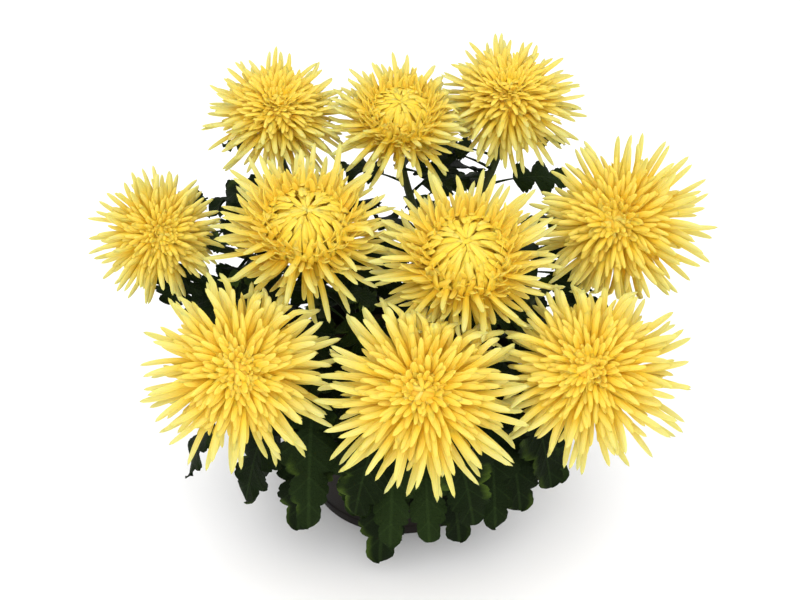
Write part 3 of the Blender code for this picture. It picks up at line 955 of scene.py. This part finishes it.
def add_calyx(growth, head, bract, draw):
    """Add the green cup under a head, with overlapping pointed bracts round it."""
    radius = HEADS[head][1]
    place = head_frame(head)
    top = -SEAT_DEPTH
    profile = (
        (SHOOT_RADIUS / radius * 0.9, top - CALYX_HEIGHT - 0.03),
        (CALYX_RADIUS * 0.72, top - CALYX_HEIGHT * 0.80),
        (CALYX_RADIUS, top - CALYX_HEIGHT * 0.35),
        (CALYX_RADIUS * 0.98, top - CALYX_HEIGHT * 0.1),
        (SEAT_RADIUS, top),
    )
    cup = as_mesh("cup", turned(profile, CALYX_SIDES))
    growth.add(cup, (0, 0.5, 0), lambda corner: (place @ corner, Vector((0, 0, 0.5))))
    bpy.data.meshes.remove(cup)
    for row in range(BRACT_ROWS):
        for number in range(BRACTS_IN_ROW):
            turn = math.tau * (number + 0.5 * (row % 2)) / BRACTS_IN_ROW + vary(draw, BRACT_TURN)
            low = top - CALYX_HEIGHT * mix(0.9, 0.45, row / (BRACT_ROWS - 1))
            length = draw.uniform(*BRACT_LENGTHS)
            out = CALYX_RADIUS * mix(0.62, 1.0, row / (BRACT_ROWS - 1))
            ends = (
                (out, low),
                (CALYX_RADIUS * 1.10, low + length * 0.5),
                (CALYX_RADIUS * 1.12, low + length),
            )
            knots = [place @ from_axis(far, turn, height) for far, height in ends]
            points = [on_curve(*knots, share) for share in ring_shares()]
            side = way_round(place, turn)
            width = BRACT_WIDTH * radius
            move = strip_move(points, side, width, BRACT_THICKNESS, BRACT_CHANNEL, 0, BRACT_SHARPNESS)
            growth.add(bract, (0, draw.random(), 0), move)


# Leaves


class Leaf:
    """One leaf on an arched path from its stem to its tip: a stalk, then a lobed blade."""

    def __init__(self, root, tip, out, height, stalk, width, roll):
        level = Vector((tip.x - root.x, tip.y - root.y, 0))
        self.root = root
        self.bend = Vector((root.x, root.y, height)) + level * out
        self.tip = tip
        self.stalk = stalk
        self.width = width
        self.roll = math.radians(roll)
        self.side = level.normalized().cross(Vector((0, 0, 1)))

    def place(self, along, across, above):
        """Return the point at a share of the path, a distance across it and one above it."""
        first = self.root.lerp(self.bend, along)
        second = self.bend.lerp(self.tip, along)
        tangent = (second - first).normalized()
        flat_up = self.side.cross(tangent)
        side = self.side * math.cos(self.roll) + flat_up * math.sin(self.roll)
        return first.lerp(second, along) + side * across + side.cross(tangent) * above

    def blade_length(self):
        """Return about how long the blade is."""
        start = self.place(self.stalk, 0, 0)
        middle = self.place((1 + self.stalk) / 2, 0, 0)
        return (middle - start).length + (self.tip - middle).length


def lobed_width(along):
    """Return the width of one half of a blade at a share of its length, as a share of its width."""
    width = LOBE_JOIN * smooth_step(along, -0.02, 0.10) * (1 - smooth_step(along, 0.78, 0.92))
    for middle, half, height in LEAF_LOBES:
        offset = (along - middle) / half
        if abs(offset) < 1:
            width = max(width, height * math.sqrt(1 - abs(offset) ** LOBE_ROUNDNESS))
    teeth = abs(math.sin((along + 0.02) * math.pi * LEAF_TEETH)) ** TOOTH_SHARPNESS
    return max(width * (1 - TOOTH_DEPTH * (1 - teeth)), NARROWEST)


def even_rows(count):
    """Return shares of a blade's length that are evenly spaced along its lobed edge."""
    fine = [index / EDGE_SAMPLES for index in range(EDGE_SAMPLES + 1)]
    edge = [Vector((along, lobed_width(along) * LEAF_PROPORTION)) for along in fine]
    steps = [(after - before).length for before, after in zip(edge, edge[1:])]
    reached = list(itertools.accumulate(steps, initial=0.0))
    goals = [reached[-1] * row / count for row in range(count + 1)]
    return [fine[min(bisect.bisect_left(reached, goal), EDGE_SAMPLES)] for goal in goals]


def add_leaf(growth, slab, tube, rows, leaf, young, draw):
    """Add one leaf: a lobed blade with waved lobes, and a stalk that runs on as its rib."""
    length = leaf.blade_length()
    wave = WAVE_DEPTH * draw.uniform(*WAVINESS)
    phase = draw.uniform(0, math.tau)
    tone = draw.random()
    curl = draw.uniform(*CURLS)

    def place_blade(corner):
        along = rows[round(corner.x * LEAF_ROWS)]
        reach = lobed_width(along)
        across = corner.y * reach * leaf.width
        swept = along + LOBE_SWEEP * (abs(corner.y) - 0.5) * reach * min(1, 6 * (1 - along))
        share = min(mix(leaf.stalk, 1, swept), 1)
        offset = phase + math.copysign(WAVE_OFFSET, corner.y)
        ripple = wave * corner.y**2 * math.sin(along * WAVE_PACE + offset)
        droop = -curl * (abs(across) / leaf.width * 2) ** 2
        lift = abs(across) * LEAF_KEEL + ripple + droop + BLADE_THICKNESS * (corner.z - 0.5)
        mark = Vector((swept, across / length, abs(corner.y)))
        return leaf.place(share, across, lift), mark

    def place_rib(corner):
        thin = smooth_step(corner.z, 0, leaf.stalk + 0.12)
        narrowing = 1 - 0.5 * smooth_step(corner.z, 0.6, 1)
        radius = mix(STALK_WIDTH / 2, THIN_STALK_RADIUS, thin**0.7) * narrowing
        above = (corner.y - RIB_SINK * thin) * radius
        return leaf.place(corner.z * 0.985, corner.x * radius, above), Vector((0.5, 0, 0))

    growth.add(slab, (tone, young, 0), place_blade)
    growth.add(tube, (tone, young, 0), place_rib)


def hanging_leaves(shoots, leaves, lifts):
    """Yield listed leaves: their plant's shoot, and ways for each, the best first."""
    for name, share, tip, width, roll in leaves:
        width /= 1000
        root = on_path(shoots[name], share)
        ways = []
        for size, lift, swing in itertools.product(SIZES, lifts, SMALL_SWINGS):
            height = max(root.z + HANGING_LIFT, POT_HEIGHT + lift)
            reach = Matrix.Rotation(math.radians(swing), 3, "Z") @ (Vector(tip) / 1000 - root)
            end = root + reach * size
            ways.append(Leaf(root, end, HANGING_OUT, height, HANGING_STALK, width * size, roll))
        yield name, ways


def rule_leaves(shoots, seed, rows, lift):
    """Yield leaves up every shoot: the shoot's name, and ways for each, the best first."""
    for number, (name, points) in enumerate(shoots.items()):
        draw = random.Random(seed + name)
        turn = draw.uniform(0, math.tau)
        for share, reach, drop in rows:
            turn += GOLDEN_ANGLE
            root = on_path(points, share + RULE_SHIFT * (number % 2))
            length = reach * draw.uniform(*RULE_LENGTHS)
            roll = vary(draw, RULE_ROLL)
            height = root.z + lift
            ways = []
            for size, lower, swing in itertools.product(SIZES, DROPS, SWINGS):
                fall = drop + lower
                flat = math.sqrt(length**2 - fall**2) * size
                tip = root + from_axis(flat, turn + math.radians(swing - 90), -fall)
                width = LEAF_WIDTH * length * size
                if tip.xy.length < CROWN_RADIUS:
                    ways.append(Leaf(root, tip, RULE_OUT, height, RULE_STALK, width, roll))
            yield name, ways


def way_taken(ways, tree):
    """Return the way that the part's own leaf takes, found by the corners at its tip, or None."""
    for leaf in ways:
        tips = [leaf.place(1, 0, LEAF_THICKNESS * side) for side in (-0.5, 0.5)]
        if all(tree.find(tip)[2] < TIP_MATCH for tip in tips):
            return leaf
    return None


def corner_tree(node):
    """Return a search tree of the corners of one of the part's nodes."""
    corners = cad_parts[node].data.vertices
    tree = KDTree(len(corners))
    for index, corner in enumerate(corners):
        tree.insert(corner.co, index)
    tree.balance()
    return tree


def as_tree(shape):
    """Turn a shape that is being built into a search tree of its faces."""
    tree = BVHTree.FromBMesh(shape)
    shape.free()
    return tree


def face_tree(mesh):
    """Return a search tree of a mesh's faces."""
    shape = bmesh.new()
    shape.from_mesh(mesh)
    return as_tree(shape)


def quick_blade(leaf):
    """Return a search tree of a leaf's plain outline, to test what it would cross."""
    shape = bmesh.new()
    shares = (0.12, leaf.stalk, mix(leaf.stalk, 1, 0.25), mix(leaf.stalk, 1, 0.6), 1)
    halves = (0.002, 0.004, leaf.width * 0.46, leaf.width * 0.44, 0.004)
    rails = []
    for side in (-1, 1):
        spots = [leaf.place(share, half * side, half * LEAF_KEEL) for share, half in zip(shares, halves)]
        rails.append([shape.verts.new(spot) for spot in spots])
    left, right = rails
    for corners in zip(left, left[1:], right[1:], right):
        shape.faces.new(corners)
    return as_tree(shape)


def clear_way(ways, obstacles):
    """Return the first way that crosses no obstacle, and add it to them, or return None."""
    for leaf in ways:
        tree = quick_blade(leaf)
        if not any(tree.overlap(other) for other in obstacles):
            obstacles.append(tree)
            return leaf
    return None


def build_foliage(slab, rib, material):
    """Make the leaves of every cutting: the part's own, then smaller ones between them."""
    shoots = {
        head: shoot_path(head, place, SHOOT_STEPS) for place, heads in PLANTS.values() for head in heads
    }
    owner = {head: plant for plant, (_, heads) in PLANTS.items() for head in heads}
    trees = {plant: corner_tree("plant_" + plant) for plant in PLANTS}
    growths = {plant: Growth() for plant in PLANTS}
    rows = even_rows(LEAF_ROWS)
    draw = random.Random("blades")
    large = itertools.chain(
        hanging_leaves(shoots, HANGING_LEAVES, (RIM_LIFT,)),
        rule_leaves(shoots, "leaves ", RULE_LEAVES, RULE_LIFT),
    )
    for head, ways in large:
        leaf = way_taken(ways, trees[owner[head]])
        if leaf:
            add_leaf(growths[owner[head]], slab, rib, rows, leaf, 0.0, draw)
    obstacles = [face_tree(item.data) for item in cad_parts.values()]
    small = itertools.chain(
        hanging_leaves(shoots, SKIRT_LEAVES, SKIRT_LIFTS),
        rule_leaves(shoots, "young ", YOUNG_LEAVES, YOUNG_LIFT),
    )
    for head, ways in small:
        leaf = clear_way(ways, obstacles)
        if leaf:
            add_leaf(growths[owner[head]], slab, rib, rows, leaf, draw.uniform(*YOUNG_SHADES), draw)
    for plant, growth in growths.items():
        growth.finish("plant_" + plant + "_leaves", material, "plant_" + plant, "foliage")


# Pot and soil


def pot_radius(height):
    """Return the outer radius of the pot's wall at a height."""
    share = height / (POT_HEIGHT - POT_COLLAR)
    top = POT_RIM_RADIUS - POT_COLLAR_STEP
    return POT_BASE_RADIUS + (top - POT_BASE_RADIUS) * share


def build_pot(material):
    """Make the moulded pot: tapered wall, rounded collar, foot ring and drain holes."""
    collar = POT_HEIGHT - POT_COLLAR
    soft = POT_EDGE_RADIUS
    over_foot = POT_FOOT_HEIGHT + 0.0006
    base = POT_BASE_RADIUS
    rim = POT_RIM_RADIUS
    profile = (
        (base - 0.004, 0.0012),
        (base - 0.0036, 0),
        (base - soft, 0),
        (base, soft),
        (pot_radius(POT_FOOT_HEIGHT), POT_FOOT_HEIGHT),
        (pot_radius(over_foot) - POT_FOOT_STEP, over_foot),
        (pot_radius(collar) - POT_FOOT_STEP, collar - 0.001),
        (pot_radius(collar), collar),
        (rim - soft, collar + POT_COLLAR_STEP - soft),
        (rim, collar + POT_COLLAR_STEP),
        (rim, POT_HEIGHT - soft),
        (rim - soft, POT_HEIGHT),
        (rim - POT_WALL + soft, POT_HEIGHT),
        (rim - POT_WALL, POT_HEIGHT - soft),
        (pot_radius(collar) - POT_WALL, collar - POT_COLLAR_STEP),
        (base - POT_WALL, POT_WALL),
    )
    shell = as_mesh("pot_shell", turned(profile, POT_SIDES))
    pot = add_piece("pot_moulded", shell, material, "pot", "pot")
    shape = bmesh.new()
    for index in range(DRAINS):
        turn = math.tau * (index + 0.5) / DRAINS
        add_rod(shape, DRAIN_SIDES, DRAIN_RADIUS, 4 * POT_WALL, from_axis(DRAIN_CIRCLE, turn, 0))
    drill = put_in_scene("drill", as_mesh("drill", shape))
    cut = pot.modifiers.new("drains", "BOOLEAN")
    cut.operation = "DIFFERENCE"
    cut.solver = "EXACT"
    cut.object = drill
    graph = bpy.context.evaluated_depsgraph_get()
    pot.data = bpy.data.meshes.new_from_object(pot.evaluated_get(graph))
    pot.modifiers.clear()
    bpy.data.objects.remove(drill, do_unlink=True)
    pot.data.shade_smooth()
    soften = pot.modifiers.new("edges", "WEIGHTED_NORMAL")
    soften.keep_sharp = False


def build_soil(material, crumb_material):
    """Make the filled soil with an uneven top, and the crumbs that lie on it."""
    inset = POT_WALL + SEAT_GAP
    collar = POT_HEIGHT - POT_COLLAR
    top_radius = pot_radius(collar) - inset - SOIL_EDGE
    profile = [(POT_BASE_RADIUS - inset, inset), (top_radius, SOIL_LEVEL - 3 * SOIL_EDGE)]
    profile += [(top_radius * (1 - index / SOIL_RINGS), SOIL_LEVEL) for index in range(1, SOIL_RINGS)]
    shape = turned(profile, SOIL_SIDES)
    for corner in shape.verts:
        if corner.co.z > SOIL_LEVEL - SOIL_EDGE:
            uneven = noise.fractal(corner.co * SOIL_RELIEF_SCALE, 1.0, 2.0, 4)
            corner.co.z += SOIL_RELIEF * (uneven - 0.35)
    for face in shape.faces:
        face.smooth = True
    add_piece("soil_fill", as_mesh("soil_fill", shape), material, "soil", "soil")
    draw = random.Random("crumbs")
    shape = bmesh.new()
    bmesh.ops.create_icosphere(shape, subdivisions=1, radius=1)
    chip = as_mesh("chip", shape)
    growth = Growth()
    for _ in range(SOIL_CRUMBS):
        far = top_radius * math.sqrt(draw.random()) * 0.97
        turn = draw.uniform(0, math.tau)
        size = Vector([draw.uniform(*CRUMB_RADII) for _ in range(3)])
        tilt = Matrix.Rotation(draw.uniform(0, math.tau), 3, Vector((draw.random(), draw.random(), 1)))
        spot = from_axis(far, turn, SOIL_LEVEL)

        def settle(corner, size=size, tilt=tilt, spot=spot):
            return spot + tilt @ (corner * size), corner.copy()

        growth.add(chip, (0, draw.random(), 0), settle)
    growth.finish("soil_crumbs", crumb_material, "soil", "soil")


# The room


def build_room():
    """Make the pale floor, the soft light and the camera at the photograph's angle."""
    shape = bmesh.new()
    bmesh.ops.create_grid(shape, x_segments=1, y_segments=1, size=FLOOR_SIZE / 2)
    mesh = as_mesh("floor", shape)
    mesh.materials.append(floor_finish())
    floor = put_in_scene("floor", mesh)

    world = bpy.data.worlds.new("studio")
    world.use_nodes = True
    sky = world.node_tree.nodes["Background"]
    sky.inputs["Color"].default_value = (1, 1, 1, 1)
    sky.inputs["Strength"].default_value = SKY_STRENGTH
    bpy.context.scene.world = world

    for name, (place, size, power) in LAMPS.items():
        light = bpy.data.lights.new(name, "AREA")
        light.size = size
        light.energy = power
        lamp = put_in_scene(name, light)
        lamp.location = place
        lamp.rotation_euler = (Vector(place) - Vector(CAMERA_TARGET)).to_track_quat("Z", "Y").to_euler()

    back = direction(0, CAMERA_ELEVATION)
    camera = bpy.data.cameras.new("camera")
    camera.lens = CAMERA_LENS
    camera.sensor_width = SENSOR_WIDTH
    viewer = put_in_scene("camera", camera)
    viewer.location = Vector(CAMERA_TARGET) + back * CAMERA_DISTANCE
    viewer.rotation_euler = back.to_track_quat("Z", "Y").to_euler()
    bpy.context.scene.camera = viewer
    bpy.context.scene.view_settings.view_transform = "Standard"


def main():
    build_room()
    petal = strap_shape("petal", PETAL_SIDES, PETAL_RINGS, True, True)
    rib = strap_shape("rib", RIB_SIDES, RIB_RINGS, True, False)
    tube = strap_shape("tube", STEM_SIDES, STEM_STEPS, False, False)
    slab = slab_shape("blade", LEAF_ROWS, LEAF_COLUMNS)
    petal_material = petal_finish()
    stem_material = stem_finish()
    for name in HEADS:
        build_bloom(name, petal, petal_material)
    for plant in PLANTS:
        build_stems(plant, tube, petal, stem_material)
    build_foliage(slab, rib, leaf_finish())
    build_pot(pot_finish())
    build_soil(soil_finish(), crumb_finish())


main()
